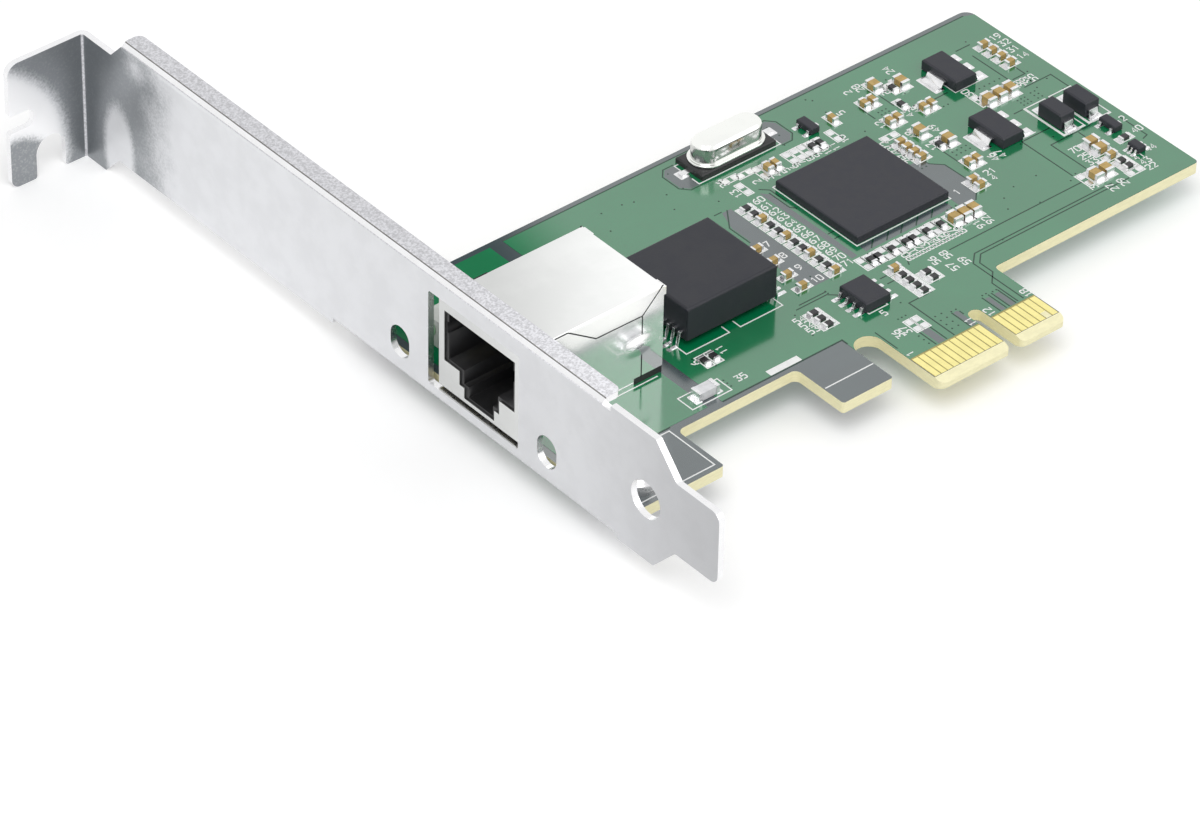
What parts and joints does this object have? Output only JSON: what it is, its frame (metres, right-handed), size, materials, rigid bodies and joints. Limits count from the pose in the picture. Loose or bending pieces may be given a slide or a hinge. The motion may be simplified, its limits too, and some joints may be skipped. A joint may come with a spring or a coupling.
{
  "type": "network interface card",
  "caption": "Single-port network card for a one-lane slot: green board with edge fingers, shielded socket and chips, screwed to a folded full-height steel bracket.",
  "frame": {"origin": "on the centre line of the key notch, at the finger tips, on the component face of the board", "axes": "+X away from the bracket along the board, +Y from the fingers to the bracket's flange, +Z out of the component face"},
  "size_m": [0.1126, 0.1201, 0.0214],
  "materials": {
    "bracket_steel": "satin",
    "screw_steel": "bright",
    "board": "gloss",
    "gold": "bright",
    "shield": "bright",
    "black_plastic": "satin",
    "light_body": "matte",
    "light_lens": "gloss",
    "dark_moulding": "matte",
    "tin": "bright",
    "tan_ceramic": "satin",
    "pale_ceramic": "satin",
    "resistor_ceramic": "gloss"
  },
  "bodies": {
    "root": {"bracket": "bracket_steel", "bracket_screws": "screw_steel", "circuit_board": "board", "edge_contacts": "gold", "jack_shield": "shield", "jack_housing": "black_plastic", "jack_contacts": "gold", "light_bodies": "light_body", "light_lenses": "light_lens", "magnetics_body": "dark_moulding", "magnetics_leads": "tin", "controller_chip": "dark_moulding", "crystal_base": "black_plastic", "crystal_can": "shield", "crystal_tails": "tin", "regulator_bodies": "dark_moulding", "regulator_leads": "tin", "diode_bodies": "dark_moulding", "diode_leads": "tin", "memory_body": "dark_moulding", "memory_leads": "tin", "transistor_bodies": "dark_moulding", "transistor_leads": "tin", "driver_body": "dark_moulding", "driver_leads": "tin", "ceramic_capacitors": "tan_ceramic", "capacitor_ends": "tin", "resistors": "resistor_ceramic", "resistor_ends": "tin", "bulk_capacitor": "pale_ceramic", "bulk_capacitor_ends": "tin"}
  },
  "joints": []
}
